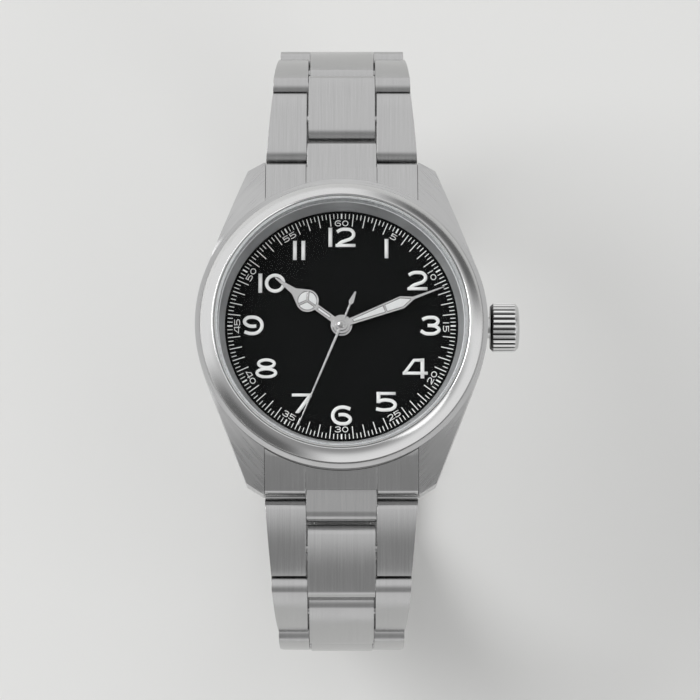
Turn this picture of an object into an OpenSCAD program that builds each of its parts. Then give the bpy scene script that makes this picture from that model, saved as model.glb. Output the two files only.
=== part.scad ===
// Wristwatch with a round steel case, a black field dial and a bracelet of three-piece links.
// Millimetres. +Z points out of the dial, +Y to 12 o'clock and +X to the crown at 3 o'clock.
// The origin is the centre of the case back's outer face. The bracelet is closed, as on a stand.

/* [Case] */
// Diameter of the case body
case_d = 38; // [37:0.2:40]
// Width of the case's flat top outside the bezel
shoulder = 0.7; // [0.5:0.1:1]
// How far the middle case stands off the wrist
back_h = 1.6; // [1.5:0.1:1.8]
// Thickness of the case back
back_t = 1; // [0.9:0.05:1.2]
// Distance between the lugs
lug_gap = 20; // [19:0.5:21]
// Thickness of a lug at its outer corner
lug_t = 2.3; // [2:0.1:2.6]
// How far the lugs reach past the round case
lug_reach = 2.9; // [2.6:0.1:3.2]
// Length over which a lug's top slopes
lug_run = 13.9; // [12:0.1:15]
// How far the lug tips lie below the top of the middle case
lug_drop = 3.4; // [2.8:0.1:3.6]
// Height of the lugs' undersides over the wrist
lug_low = 1; // [0.8:0.1:1.2]
// Height of the spring bars over the wrist
bar_z = 3.2; // [3:0.1:3.4]
// Distance of the spring bars inside the lug tips
bar_inset = 1.8; // [1.7:0.05:1.9]
// Diameter of the lug spring bars
bar_d = 1.5; // [1.3:0.1:1.6]

/* [Bezel and glass] */
// Width of the bezel's sloping face
slope_w = 1.6; // [1.4:0.1:1.9]
// Height of the bezel
bezel_h = 2; // [1.8:0.1:2.4]
// Width of the bezel's edge inside the slope
bezel_lip = 0.25; // [0.2:0.05:0.35]
// Thickness of the gasket round the glass
gasket_t = 0.2; // [0.15:0.05:0.25]
// Thickness of the glass
glass_t = 2.05; // [1.9:0.05:2.4]
// Width of the bevel round the glass
glass_bevel = 0.25; // [0.1:0.05:0.4]
// Width of the ledge under the glass
ledge_w = 0.2; // [0.15:0.05:0.3]

/* [Dial and hands] */
// Depth of the dial's face under the top of the middle case
dial_depth = 2.5; // [2.3:0.1:2.8]
// Thickness of the dial
dial_t = 0.4; // [0.3:0.05:0.5]
// Width of the sloping ring round the dial
flange_w = 0.85; // [0.7:0.05:1]
// Space between the minute hand's tip and the sloping ring
hand_margin = 0.9; // [0.6:0.1:2]
// How much shorter the hour hand is than the minute hand
hour_short = 3.6; // [3:0.1:5]
// Thickness of the hands
hand_t = 0.2; // [0.15:0.05:0.25]
// Clockwise angle of the hour hand from 12 o'clock
hour_at = 306; // [0:1:359]
// Clockwise angle of the minute hand from 12 o'clock
minute_at = 69.4; // [0:0.2:359]
// Clockwise angle of the seconds hand from 12 o'clock
seconds_at = 203; // [0:1:359]

/* [Movement] */
// Width of the ring that holds the movement in the case
ring_w = 3.2; // [2.8:0.1:3.5]
// Height of the winding rotor
rotor_h = 0.65; // [0.6:0.05:0.8]
// Thickness of the bridges
bridge_t = 0.5; // [0.4:0.05:0.6]
// Thickness of the wheels
wheel_t = 0.16; // [0.12:0.02:0.2]
// Height of the centre wheel's pinion
pinion_h = 0.42; // [0.38:0.02:0.5]
// Thickness of the main plate
plate_t = 1.2; // [1.1:0.05:1.4]

/* [Crown] */
// Diameter of the crown
crown_d = 6.4; // [5.6:0.1:6.8]
// Length of the crown
crown_len = 3.8; // [3.4:0.1:4.4]
// Number of flutes round the crown
crown_flutes = 28; // [20:1:32]
// Gap between the crown and the case
crown_gap = 0.35; // [0.2:0.05:0.6]

/* [Bracelet] */
// Thickness of a link
link_t = 3; // [2.8:0.1:3.2]
// Distance between the pins of neighbouring links
link_pitch = 10; // [9.6:0.1:10.6]
// Gap between neighbouring links
link_gap = 0.3; // [0.25:0.05:0.4]
// Distance between the spring bar and the first pin
first_pitch = 3.7; // [3.5:0.1:4.2]
// Width of the bracelet at the clasp
band_w = 16; // [15:0.5:17]
// How much narrower each link is than the one before, until the clasp's width
taper_step = 1.65; // [1.2:0.05:2]
// Width of the middle piece at the case
middle_w = 9.2; // [8.4:0.2:9.6]
// Width of the middle piece at the clasp
middle_end_w = 8.2; // [7.4:0.2:8.4]
// Diameter of the link pins
pin_d = 1.2; // [1:0.1:1.3]
// Downward slope of the first short link
slope_first = 8; // [4:1:12]
// Downward slope of link 1
slope_1 = 16; // [12:1:20]
// Downward slope of link 2
slope_2 = 57.5; // [52:0.5:62]
// Radius of the links' outer faces
link_crown_r = 14; // [12:1:40]

/* [Clasp] */
// Distance between the bracelet's two ends at the clasp
clasp_span = 37.2; // [36:0.2:40]
// Thickness of the clasp's sheet
sheet_t = 0.9; // [0.8:0.05:1]
// Height of the clasp's cover
cover_h = 3.9; // [3.7:0.1:4.2]
// Thickness of the clasp's leaves
leaf_t = 0.8; // [0.7:0.05:0.9]
// Width of the clasp leaf's knuckles beside the last link
knuckle_w = 1.4; // [1.2:0.1:1.8]
// Travel of the clasp's push pieces
push_travel = 0.7; // [0.5:0.1:0.8]

/* [Fits] */
// Radial clearance of a running pin or shaft
run_c = 0.05; // [0.03:0.01:0.08]
// Clearance between pieces that are fixed together
fit_c = 0.02; // [0.01:0.01:0.03]
// Clearance between pieces that pass each other
free_c = 0.2; // [0.15:0.05:0.25]

/* [Hidden] */
$fn = 64;
LINKS = 7;

STEEL = [0.74, 0.74, 0.75];
POLISHED = [0.86, 0.86, 0.87];
BRASS = [0.80, 0.68, 0.38];
GASKET = [0.10, 0.10, 0.11];
RUBY = [0.72, 0.10, 0.22];

// Case, bezel and glass, from the outside inwards
case_r = case_d / 2;
bezel_r = case_r - shoulder;
bezel_top_r = bezel_r - slope_w;
neck_r = bezel_top_r - bezel_lip;
neck_t = 0.5;
neck_h = 1.1;
glass_r = neck_r - gasket_t;
bore_r = glass_r - ledge_w;
dial_open_r = bore_r - flange_w;
case_back_r = bore_r + 0.95;
tip_y = case_r + lug_reach;
lug_start = tip_y - lug_run;
lug_r = (lug_run * lug_run + lug_drop * lug_drop) / (2 * lug_drop);
lug_corner = 1.3;
lug_tip_t = 0.2;
end_link_round = 1;
end_link_lip = 0.5;
bar_y = tip_y - bar_inset;
bar_tip_d = bar_d - 0.5;
undercut_r = bar_y - link_t / 2 - free_c;

// Heights, from the case back up
rotor_low = back_t + 0.15;
bridge_low = rotor_low + rotor_h + 0.25;
bridge_top = bridge_low + bridge_t;
fourth_z = bridge_top + 0.1;
third_z = fourth_z + 0.55;
centre_pinion_z = third_z + wheel_t + 0.17;
centre_z = centre_pinion_z + pinion_h;
barrel_top = centre_z - 0.1;
barrel_low = barrel_top - 0.9;
fork_z = barrel_top - 0.25;
plate_low = centre_z + 0.3;
plate_top = plate_low + plate_t;
crown_z = plate_low + plate_t / 2;
cannon_z = plate_top + 0.05;
motion_t = 0.12;
hour_wheel_z = cannon_z + motion_t + 0.07;
dial_low = hour_wheel_z + motion_t + 0.09;
dial_z = dial_low + dial_t;
hour_z = dial_z + 0.4;
minute_z = hour_z + hand_t + 0.25;
seconds_z = minute_z + hand_t + 0.25;
seconds_t = 0.15;
case_top = dial_z + dial_depth;
mid_h = case_top - back_h;
bezel_top = case_top + bezel_h;
glass_low = case_top + 0.25;

// Wheels and pinions, as radii over the teeth that share out the plate, and their teeth
plate_r = bore_r - ring_w;
mesh_c = 0.03;
centre_r = 0.288 * plate_r;
centre_pinion_r = 0.058 * plate_r;
third_pinion_r = 0.047 * plate_r;
fourth_pinion_r = 0.039 * plate_r;
fourth_r = 0.28 * plate_r;
escape_pinion_r = 0.033 * plate_r;
escape_r = 0.148 * plate_r;
barrel_r = 0.405 * plate_r;
cannon_r = 0.066 * plate_r;
minute_wheel_r = 0.156 * plate_r;
minute_pinion_r = 0.039 * plate_r;
balance_r = 0.272 * plate_r;
balance_dist = 0.66 * plate_r;
third_dist = centre_r + third_pinion_r + mesh_c;
third_r = third_dist - fourth_pinion_r - mesh_c;
escape_dist = fourth_r + escape_pinion_r + mesh_c;
fork_dist = escape_dist + escape_r + 0.55;
barrel_dist = barrel_r + centre_pinion_r + mesh_c;
motion_dist = cannon_r + minute_wheel_r + mesh_c;
hour_wheel_r = motion_dist - minute_pinion_r - mesh_c;
third_at = polar(third_dist, 20);
escape_line = -60;
escape_at = polar(escape_dist, escape_line);
fork_at = polar(fork_dist, escape_line);
balance_at = polar(balance_dist, escape_line);
barrel_at = polar(barrel_dist, 180);
minute_wheel_at = polar(motion_dist, 110);
pillar_r = plate_r - 1.1;
cock_pillar = polar(pillar_r, -33);
pillars = [for (a = [90, 137, 223, 28]) polar(pillar_r, a)];
fork_feet = [for (s = [-1, 1]) polar(fork_dist + 0.55, escape_line + 22 * s)];
centre_teeth = 64;
centre_pinion_teeth = 12;
third_teeth = 60;
fourth_teeth = 72;
pinion_teeth = 8;
barrel_teeth = 72;
cannon_teeth = 12;
minute_wheel_teeth = 36;
minute_pinion_teeth = 10;
hour_wheel_teeth = 40;
escape_teeth = 20;
cannon_bore_r = 0.75;
tube_r = 0.62;
dial_foot_r = plate_r - 1.45;

// Hands
minute_len = dial_open_r - hand_margin;
hour_len = minute_len - hour_short;
seconds_len = minute_len;
hour_needle = 5.2;
minute_needle = 4.7;
seconds_tail = 4.7;

// Crown
crown_x = case_r + crown_gap;
stem_in = plate_r - 3.85;
stem_groove_x = plate_r - 2.45;

// Bracelet
end_r = link_t / 2;
outer_len = link_pitch - link_gap;
half_pin = pin_d / 2;
face_c = 0.03;
// How far a side piece's hollow end stops behind the next pin
lip_back = 1.1;
slope_3 = 90;
curl = solve_curl(0, 45);
slopes = [slope_1, slope_2, slope_3, for (i = [1 : LINKS - 3]) slope_3 + i * curl];
first_pin = [bar_y, bar_z] + first_pitch * heading(slope_first);
pins = [for (i = [0 : LINKS]) pin_place(i)];
// Widths of the bracelet at the start of each link, and after the last
widths = [for (i = [0 : LINKS]) max(band_w, lug_gap - 2 * face_c - i * taper_step)];
middles = [for (i = [0 : LINKS]) middle_w + (middle_end_w - middle_w) * min(i, 3) / 3];

// Clasp, from the bracelet's end pins outwards
clasp_y = clasp_span / 2;
clasp_z = pins[LINKS][1];
leaf_w = middle_end_w + 2 * knuckle_w;
wall_t = 0.8;
leaf_pin_d = 1;
leaf_gap = 0.35;
fork_w = 2.6;
tongue_w = leaf_w - 2 * fork_w - 2 * free_c;
leaf_knuckle_r = 0.95;
cover_knuckle_r = 0.75;
cover_knuckle_w = 1.8;
inner_leaf_low = clasp_z + 0.5;
outer_leaf_low = inner_leaf_low - leaf_gap - leaf_t;
hinge_6 = [5.1 - clasp_y, inner_leaf_low - leaf_gap / 2];
hinge_12 = [clasp_y - 3.6, outer_leaf_low - 0.25];
cover_in = hinge_12[1] - 0.8;
cover_low = cover_in - sheet_t;
cover_w = band_w + 2 * (free_c + wall_t);
push_y = -9;
push_z = (cover_low + cover_h + cover_low) / 2 + 0.4;
push_r = 1.2;

function polar(r, a) = [r * cos(a), r * sin(a)];
function heading(slope) = [cos(slope), -sin(slope)];
// Distance from the middle plane at which the last pin lands for a curl per link
function reach(c) = bar_y + first_pitch * cos(slope_first)
    + link_pitch * (cos(slope_1) + cos(slope_2) + cos(slope_3)
    + sum([for (i = [1 : LINKS - 3]) cos(slope_3 + i * c)]));
// The curl that brings the last pin to the clasp, by halving
function solve_curl(lo, hi, n = 30) = n == 0 ? (lo + hi) / 2
    : reach((lo + hi) / 2) > clasp_span / 2 ? solve_curl((lo + hi) / 2, hi, n - 1)
    : solve_curl(lo, (lo + hi) / 2, n - 1);
function sum(v, i = 0) = i == len(v) ? 0 : v[i] + sum(v, i + 1);
function pin_place(i) = i == 0 ? first_pin : pin_place(i - 1) + link_pitch * heading(slopes[i - 1]);

// An outline drawn as distance along Y and height, extruded along X
module side_on(w) { rotate([90, 0, 90]) linear_extrude(w, center = true) children(); }
// A flat bar with round ends, centred on two points of a line
module stadium(from, to, r) {
    translate([from, 0]) circle(r);
    translate([to, 0]) circle(r);
    translate([from, -r]) square([to - from, 2 * r]);
}
// A straight bar with round ends between two points
module bar_2d(a, b, w) {
    d = b - a;
    translate(a) rotate(atan2(d[1], d[0])) stadium(0, norm(d), w / 2);
}
module tube(r, inner, h) {
    difference() {
        cylinder(r = r, h = h);
        hole(inner, h);
    }
}
// A round cutter that runs past both faces
module hole(r, h) { translate([0, 0, -0.5]) cylinder(r = r, h = h + 1); }
module along_x(r, len, at) {
    translate([0, at[0], at[1]]) rotate([0, 90, 0]) cylinder(r = r, h = len, center = true);
}
module at_12_and_6() {
    children();
    mirror([0, 1, 0]) children();
}
// A toothed disc with straight-sided teeth, r over the teeth
module gear(r, teeth, depth, h) {
    linear_extrude(h) difference() {
        circle(r);
        for (i = [0 : teeth - 1]) rotate(360 * i / teeth)
            translate([r, 0]) rotate(45) square(depth * sqrt(2), center = true);
    }
}
// The same with crossed-out spokes
module spoked_wheel(r, teeth, h, spokes = 4) {
    difference() {
        gear(r, teeth, 0.25, h);
        translate([0, 0, -0.5]) linear_extrude(h + 1) difference() {
            circle(r - 0.75);
            circle(max(0.2 * r, 0.45));
            for (i = [0 : spokes - 1]) rotate(360 * i / spokes) translate([0, -0.16]) square([r, 0.32]);
        }
    }
}

// Case

module mid_case() color(STEEL) difference() {
    union() {
        case_drum();
        at_12_and_6() lug_pair();
    }
    translate([0, 0, back_h]) hole(bore_r, mid_h + neck_h);
    translate([0, 0, glass_low]) cylinder(r = neck_r, h = bezel_h);
    translate([0, 0, back_h - fit_c]) tube(seal_r + seal_w + fit_c, seal_r - fit_c, 0.4 + fit_c);
    cylinder(r = case_back_r + fit_c, h = back_h);
    at_12_and_6() bar_recess();
    at_12_and_6() along_x(bar_tip_d / 2 + fit_c, lug_gap + 2.4, [bar_y, bar_z]);
    crown_bore(tube_out_r + fit_c);
}
seal_r = bore_r + 0.2;
seal_w = 0.5;
tube_out_r = 1.4;
tube_in_r = 0.9;
module case_drum() {
    rotate_extrude() polygon([
        [0, back_h], [case_r - 1.3, back_h], [case_r, back_h + 1.5], [case_r, case_top],
        [neck_r + neck_t, case_top], [neck_r + neck_t, case_top + neck_h], [0, case_top + neck_h]]);
}
// Two lugs: straight flanks that leave the round case at a tangent, tops that fall away in an arc
module lug_pair() {
    corner = [lug_gap / 2 + lug_t, tip_y - lug_corner];
    tip_x = lug_gap / 2 + lug_tip_t;
    start_a = atan2(corner[1], corner[0]) - acos(case_r / norm(corner));
    touch = polar(case_r - fit_c, start_a);
    intersection() {
        translate([0, 0, lug_low]) linear_extrude(case_top - lug_low) difference() {
            polygon([[-touch[0], touch[1]], [touch[0], touch[1]], corner,
                [tip_x, tip_y], [-tip_x, tip_y], [-corner[0], corner[1]]]);
            translate([-lug_gap / 2, 0]) square([lug_gap, 2 * tip_y]);
        }
        side_on(case_d * 2) lug_side(0);
    }
}
// Side view of the lugs, below their top face sunk by some depth
module lug_side(sink) {
    low = lug_low - 1;
    square_to(0, low, lug_start, case_top - sink);
    intersection() {
        translate([lug_start, case_top - lug_r]) circle(lug_r - sink, $fn = 256);
        square_to(lug_start, low, 2 * tip_y, case_top + 1);
    }
}
module square_to(x0, y0, x1, y1) { translate([x0, y0]) square([x1 - x0, y1 - y0]); }
// Room for the short first link behind the spring bar
module bar_recess() {
    translate([-lug_gap / 2, 0, 0]) difference() {
        cube([lug_gap, 2 * tip_y, bar_z + link_t / 2 + free_c]);
        translate([lug_gap / 2, 0, 0]) cylinder(r = undercut_r, h = case_top);
    }
}
module crown_bore(r) {
    translate([bore_r - 4, 0, crown_z]) rotate([0, 90, 0]) cylinder(r = r, h = case_r);
}

module bezel() color(POLISHED) {
    inner = neck_r + fit_c;
    foot = neck_r + neck_t + fit_c;
    rotate_extrude() polygon([
        [foot, case_top], [bezel_r, case_top], [bezel_r, case_top + 0.3],
        [bezel_top_r, bezel_top], [inner, bezel_top - 0.15],
        [inner, case_top + neck_h + fit_c], [foot, case_top + neck_h + fit_c]]);
}

module crystal() color([0.80, 0.86, 0.90, 0.30]) {
    r = glass_r;
    top = glass_low + glass_t;
    rotate_extrude() polygon([[0, glass_low], [r, glass_low], [r, top - glass_bevel],
        [r - glass_bevel, top], [0, top]]);
}

module crystal_gasket() color([0.85, 0.85, 0.82]) {
    translate([0, 0, glass_low]) tube(neck_r - fit_c, glass_r + fit_c, bezel_top - 0.25 - glass_low);
}

// The polished slope between the dial and the glass
module rehaut_ring() color(POLISHED) {
    low = dial_z + fit_c;
    outer = bore_r - fit_c;
    rotate_extrude() polygon([[dial_open_r, low], [outer, low], [outer, glass_low - fit_c],
        [outer - 0.15, glass_low - fit_c], [dial_open_r, low + 0.15]]);
}

module dial() color([0.06, 0.065, 0.065]) translate([0, 0, dial_low]) {
    tube(bore_r - 0.1, 1.15, dial_t);
    for (a = dial_feet) translate(concat(polar(dial_foot_r, a), -1)) cylinder(r = 0.4, h = 1.2);
}
dial_feet = [60, 240];

module case_back() color(POLISHED) difference() {
    skirt_r = bore_r - fit_c;
    rotate_extrude() polygon([[0, 0], [case_back_r - 2.8, 0], [case_back_r - 0.6, 0.6],
        [case_back_r, back_h - 0.4], [case_back_r, back_h - fit_c], [skirt_r, back_h - fit_c],
        [skirt_r, skirt_top], [skirt_r - 0.8, skirt_top], [skirt_r - 0.8, back_t], [0, back_t]]);
    for (i = [0 : 5]) rotate(60 * i) translate([case_back_r - 1.4, -1, -0.1]) cube([3, 2, 0.9]);
}

skirt_top = back_h + 1.3;
module case_back_gasket() color(GASKET) {
    translate([0, 0, back_h]) tube(seal_r + seal_w, seal_r, 0.36);
}

module movement_ring() color([0.55, 0.55, 0.56]) difference() {
    low = skirt_top + 0.05;
    translate([0, 0, low]) tube(bore_r - 0.1, plate_r + fit_c, dial_low - low - fit_c);
    crown_bore(0.9);
}

module lug_spring_bars() color(STEEL) at_12_and_6() {
    along_x(bar_d / 2, lug_gap - 0.6, [bar_y, bar_z]);
    along_x(bar_tip_d / 2, lug_gap + 2, [bar_y, bar_z]);
}

// Crown and its stem

module crown_tube() color(POLISHED) {
    translate([bore_r + 0.2, 0, crown_z]) rotate([0, 90, 0])
        tube(tube_out_r, tube_in_r, crown_x + 1.4 - bore_r);
}
module crown() color(POLISHED) translate([crown_x, 0, crown_z]) rotate([0, 90, 0]) difference() {
    r = crown_d / 2;
    intersection() {
        linear_extrude(crown_len) difference() {
            circle(r);
            for (i = [0 : crown_flutes - 1]) rotate(360 * i / crown_flutes)
                translate([r + 0.08, 0]) circle(0.24, $fn = 16);
        }
        rotate_extrude() polygon([[0, 0], [r - 0.45, 0], [r, 0.45], [r, crown_len - 0.6],
            [r - 0.5, crown_len - 0.12], [r - 1.3, crown_len], [0, crown_len]]);
    }
    translate([0, 0, -1]) cylinder(r = tube_out_r + run_c, h = 3.4);
}

module winding_stem() color(STEEL) translate([0, 0, crown_z]) rotate([0, 90, 0]) {
    difference() {
        translate([0, 0, stem_in]) cylinder(r = 0.45, h = crown_x + 2.4 - fit_c - stem_in);
        translate([0, 0, stem_groove_x]) tube(1, 0.3, 0.5);
    }
}

module crown_gasket() color(GASKET) {
    translate([crown_x + 1.8, 0, crown_z]) rotate([0, 90, 0]) tube(1.35, 0.5, 0.5);
}

// End links, each a solid block that the spring bar crosses

module end_link_12() color(STEEL) end_link();
module end_link_6() color(STEEL) mirror([0, 1, 0]) end_link();
// Side view of the end link: the lugs' slope with a rounded end
module end_link_side() {
    sink = 0.05;
    round_y = tip_y - end_link_round;
    arc_r = lug_r - sink - end_link_round;
    round_z = case_top - lug_r + sqrt(pow(arc_r, 2) - pow(round_y - lug_start, 2));
    meet_y = lug_start + (round_y - lug_start) * (lug_r - sink) / arc_r;
    difference() {
        lug_side(sink);
        difference() {
            square_to(meet_y, round_z, tip_y + 1, case_top);
            translate([round_y, round_z]) circle(end_link_round);
        }
    }
}
module end_link() {
    side = lug_gap / 2 - 0.05;
    low = bar_z - link_t / 2;
    room = end_r + free_c;
    middle = middle_w / 2 + face_c * 2;
    difference() {
        union() {
            intersection() {
                translate([0, 0, low]) linear_extrude(case_top - low) difference() {
                    translate([-side, 0]) square([2 * side, tip_y]);
                    circle(case_r + face_c);
                }
                side_on(lug_gap * 2) end_link_side();
            }
            // a low lip on each side, hollowed for the next link's round start
            translate([-side, bar_y, low]) cube([2 * side, end_link_lip + bar_inset, end_link_lip]);
        }
        along_x(end_r + free_c, lug_gap * 2, first_pin);
        // seams between the middle and the sides
        for (s = [-1, 1]) translate([s * middle, 0, 0]) difference() {
            translate([-0.06, 0, low - 1]) cube([0.12, 2 * tip_y, case_top]);
            side_on(1) lug_side(0.25);
        }
        // the middle ends a little short of the sides
        translate([-middle, tip_y - 0.6, 0]) cube([2 * middle, 2, case_top]);
        // room for the short first link
        along_x(room, 2 * middle, [bar_y, bar_z]);
        translate([-middle, bar_y - room, 0]) cube([2 * middle, 9, bar_z]);
        translate([-middle, bar_y, 0]) cube([2 * middle, 9, bar_z + room]);
        along_x(bar_d / 2 + run_c, lug_gap * 2, [bar_y, bar_z]);
    }
}

// Bracelet

// The short first link, with its pin for link 1 left to that link
module connector() {
    translate([0, bar_y, bar_z]) rotate([-slope_first, 0, 0]) difference() {
        side_on(middle_w - 2 * face_c) stadium(0, first_pitch, end_r);
        along_x(bar_d / 2 + run_c, lug_gap, [0, 0]);
        along_x(half_pin + run_c, lug_gap, [first_pitch, 0]);
    }
}
module connector_12() color(STEEL) connector();
module connector_6() color(STEEL) mirror([0, 1, 0]) connector();

// Side view of a link piece: round ends, and an outer face that arches from one to the other
module link_side(from, to) {
    half = (to - from) / 2;
    sunk = arch_sunk(half);
    stadium(from, to, end_r);
    intersection() {
        translate([from + half, -sunk]) circle(link_crown_r, $fn = 256);
        polygon([[from, 0], [from - half, sunk], [to + half, sunk], [to, 0]]);
        square_to(from - end_r, 0, to + end_r, link_crown_r);
    }
}
// How deep the arch's centre lies under the pins' line, where it meets the round ends smoothly
function arch_sunk(half) = sqrt(pow(link_crown_r - end_r, 2) - pow(half, 2));
// Side view of a link's side piece: a round start, and a hollow end that the next link turns in
module link_flank(far) {
    difference() {
        union() {
            link_side(0, far);
            intersection() {
                translate([far / 2, -arch_sunk(far / 2)]) circle(link_crown_r, $fn = 256);
                square_to(far / 2, -end_r, link_pitch - lip_back, 2 * end_r);
            }
        }
        translate([link_pitch, 0]) circle(end_r + link_gap);
    }
}
// Link i in its own frame, its pin at the origin and its length along +Y
module link_pieces(i) {
    w0 = widths[i - 1] / 2;
    w1 = widths[i] / 2;
    m0 = middles[i - 1] / 2;
    m1 = middles[i] / 2;
    far = outer_len - 2 * end_r;
    mid_from = 2 * end_r + link_gap;
    bar_at = (mid_from + far) / 2;
    for (s = [0, 1]) mirror([s, 0, 0]) difference() {
        intersection() {
            side_on(lug_gap * 2) link_flank(far);
            translate([0, 0, -link_t]) linear_extrude(2 * link_t)
                polygon([[m0 + face_c, -end_r], [w0, -end_r], [w1, link_pitch - end_r],
                    [w1, link_pitch], [m0 + face_c, link_pitch]]);
        }
        along_x(half_pin + fit_c, lug_gap * 2, [0, 0]);
        along_x(half_pin + fit_c, lug_gap * 2, [bar_at, 0]);
    }
    difference() {
        side_on(2 * min(m0, m1) - 2 * face_c) link_side(mid_from, link_pitch);
        along_x(half_pin + fit_c, lug_gap, [bar_at, 0]);
        along_x(half_pin + run_c, lug_gap, [link_pitch, 0]);
    }
    along_x(half_pin, 2 * min(w0, w1) - 0.6, [0, 0]);
    along_x(half_pin, 2 * min(w0, w1) - 0.6, [bar_at, 0]);
}
module place_link(i) {
    translate([0, pins[i - 1][0], pins[i - 1][1]]) rotate([-slopes[i - 1], 0, 0]) children();
}
module link_12(i) color(STEEL) place_link(i) link_pieces(i);
module link_6(i) color(STEEL) mirror([0, 1, 0]) place_link(i) link_pieces(i);

// Clasp

// The leaf next to the wrist, from the 12 o'clock bracelet end to the hinge at the other end
module clasp_leaf_inner() color(STEEL) {
    knuckle_r = end_r - 0.25;
    tab = middles[LINKS] / 2 + face_c;
    difference() {
        union() {
            translate([-leaf_w / 2, hinge_6[0], inner_leaf_low]) cube([leaf_w, clasp_y - hinge_6[0], leaf_t]);
            along_x(knuckle_r, leaf_w, [clasp_y, clasp_z]);
            for (s = [-1, 1]) translate([s * (leaf_w - fork_w) / 2, 0, 0])
                along_x(leaf_knuckle_r, fork_w, hinge_6);
        }
        translate([-tab, clasp_y - end_r - free_c, clasp_z - 5]) cube([2 * tab, 9, 9]);
        translate([-leaf_w / 2 + fork_w, hinge_6[0] - 2, clasp_z - 5]) cube([leaf_w - 2 * fork_w, 3.2, 9]);
        along_x(half_pin + fit_c, leaf_w * 2, [clasp_y, clasp_z]);
        along_x(leaf_pin_d / 2 + fit_c, leaf_w * 2, hinge_6);
        leaf_slot(inner_leaf_low);
    }
    along_x(half_pin, leaf_w - 0.2, [clasp_y, clasp_z]);
    along_x(leaf_pin_d / 2, leaf_w - 0.2, hinge_6);
}
// The slot that lightens both leaves
module leaf_slot(z) {
    translate([0, 0, z - 0.5]) linear_extrude(leaf_t + 1) rotate(90) stadium(-6, 8, 0.15 * leaf_w);
}
// The leaf next to the cover
module clasp_leaf_outer() color(STEEL) {
    difference() {
        union() {
            translate([-leaf_w / 2, hinge_6[0] + 1.4, outer_leaf_low])
                cube([leaf_w, hinge_12[0] - 1 - hinge_6[0] - 1.4, leaf_t]);
            translate([-tongue_w / 2, hinge_6[0], outer_leaf_low]) cube([tongue_w, 3, leaf_t]);
            translate([-tongue_w / 2, hinge_12[0] - 3, outer_leaf_low]) cube([tongue_w, 3, leaf_t]);
            along_x(leaf_knuckle_r, tongue_w, hinge_6);
            along_x(cover_knuckle_r, tongue_w, hinge_12);
        }
        along_x(leaf_pin_d / 2 + run_c, leaf_w * 2, hinge_6);
        along_x(leaf_pin_d / 2 + run_c, leaf_w * 2, hinge_12);
        leaf_slot(outer_leaf_low);
    }
}
// The outer cover, a channel whose walls hold the spring bar at the 6 o'clock end
module clasp_cover() color(STEEL) {
    side = cover_w / 2;
    plate_6 = -(clasp_y - end_r - 0.5);
    plate_12 = hinge_12[0] + 1;
    knuckle_x = tongue_w / 2 + free_c;
    difference() {
        union() {
            intersection() {
                side_on(cover_w) cover_side();
                union() {
                    translate([-side, plate_6, cover_low - 1])
                        cube([cover_w, plate_12 - plate_6, sheet_t + 1]);
                    for (s = [0, 1]) mirror([s, 0, 0])
                        translate([side - wall_t, -40, cover_low - 1]) cube([wall_t, 80, cover_h + 2]);
                }
            }
            for (s = [-1, 1]) translate([s * (knuckle_x + cover_knuckle_w / 2), 0, 0]) {
                along_x(cover_knuckle_r, cover_knuckle_w, hinge_12);
                translate([-cover_knuckle_w / 2, hinge_12[0] - cover_knuckle_r, cover_low + 0.3])
                    cube([cover_knuckle_w, 2 * cover_knuckle_r, hinge_12[1] - cover_low - 0.3]);
            }
        }
        along_x(bar_tip_d / 2 + run_c, lug_gap * 2, [-clasp_y, clasp_z]);
        along_x(leaf_pin_d / 2 + fit_c, 2 * (knuckle_x + cover_knuckle_w) + 0.4, hinge_12);
        along_x(push_r + run_c, lug_gap * 2, [push_y, push_z]);
    }
    along_x(leaf_pin_d / 2, 2 * (knuckle_x + cover_knuckle_w) - 0.2, hinge_12);
}
// Side view of the cover: flat where it rests, rising towards both ends
module cover_side() {
    ends = clasp_y + 1.6;
    flat = clasp_y - 7;
    top = cover_low + cover_h;
    polygon([[-ends, cover_low + 1.7], [-flat, cover_low], [flat, cover_low], [ends - 2.4, cover_low + 1.4],
        [ends - 2.4, top], [-ends + 1, top], [-ends, top - 1]]);
}
module clasp_pusher(s) {
    // a shank through the wall, with a head outside
    translate([s * (cover_w / 2 + push_travel + 0.1), push_y, push_z]) rotate([0, s * 90, 0]) {
        cylinder(r = 1.7, h = 0.7);
        translate([0, 0, -2.2]) cylinder(r = push_r, h = 2.3);
    }
}
module clasp_pusher_left() color(POLISHED) clasp_pusher(-1);
module clasp_pusher_right() color(POLISHED) clasp_pusher(1);
// The bar in the last 6 o'clock link, its tips drawn in between the cover's walls
module clasp_spring_bar() color(STEEL) {
    along_x(half_pin, cover_w - 2 * wall_t - 2 * free_c, [-clasp_y, clasp_z]);
}

// Movement, seen from the dial side upwards in Z

module main_plate() color(BRASS) difference() {
    translate([0, 0, plate_low]) {
        tube(plate_r, cannon_bore_r, plate_t);
        for (p = all_pillars) translate(concat(p, bridge_top - plate_low))
            cylinder(r = 0.9, h = plate_low - bridge_top + 0.1);
        for (p = fork_feet) translate(concat(p, fork_z - 0.15 - plate_low))
            cylinder(r = 0.5, h = plate_low - fork_z + 0.25);
    }
    translate([stem_in - 1.4, 0, crown_z]) rotate([0, 90, 0]) cylinder(r = 0.5, h = plate_r);
    translate([stem_groove_x - 0.9, -1.6, plate_low - 1]) cube([2.8, 3.2, 1.55]);
    for (p = [third_at, escape_at, fork_at, balance_at, barrel_at])
        translate(concat(p, plate_low - 0.1)) cylinder(r = 0.2, h = 0.5);
    for (p = all_pillars) translate(concat(p, bridge_top - 1)) cylinder(r = 0.35, h = 2.2);
    for (a = dial_feet) translate(concat(polar(dial_foot_r, a), plate_top - 0.9)) cylinder(r = 0.5, h = 2);
    translate(concat(minute_wheel_at, plate_top - 0.5)) cylinder(r = 0.25, h = 1);
}
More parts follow.
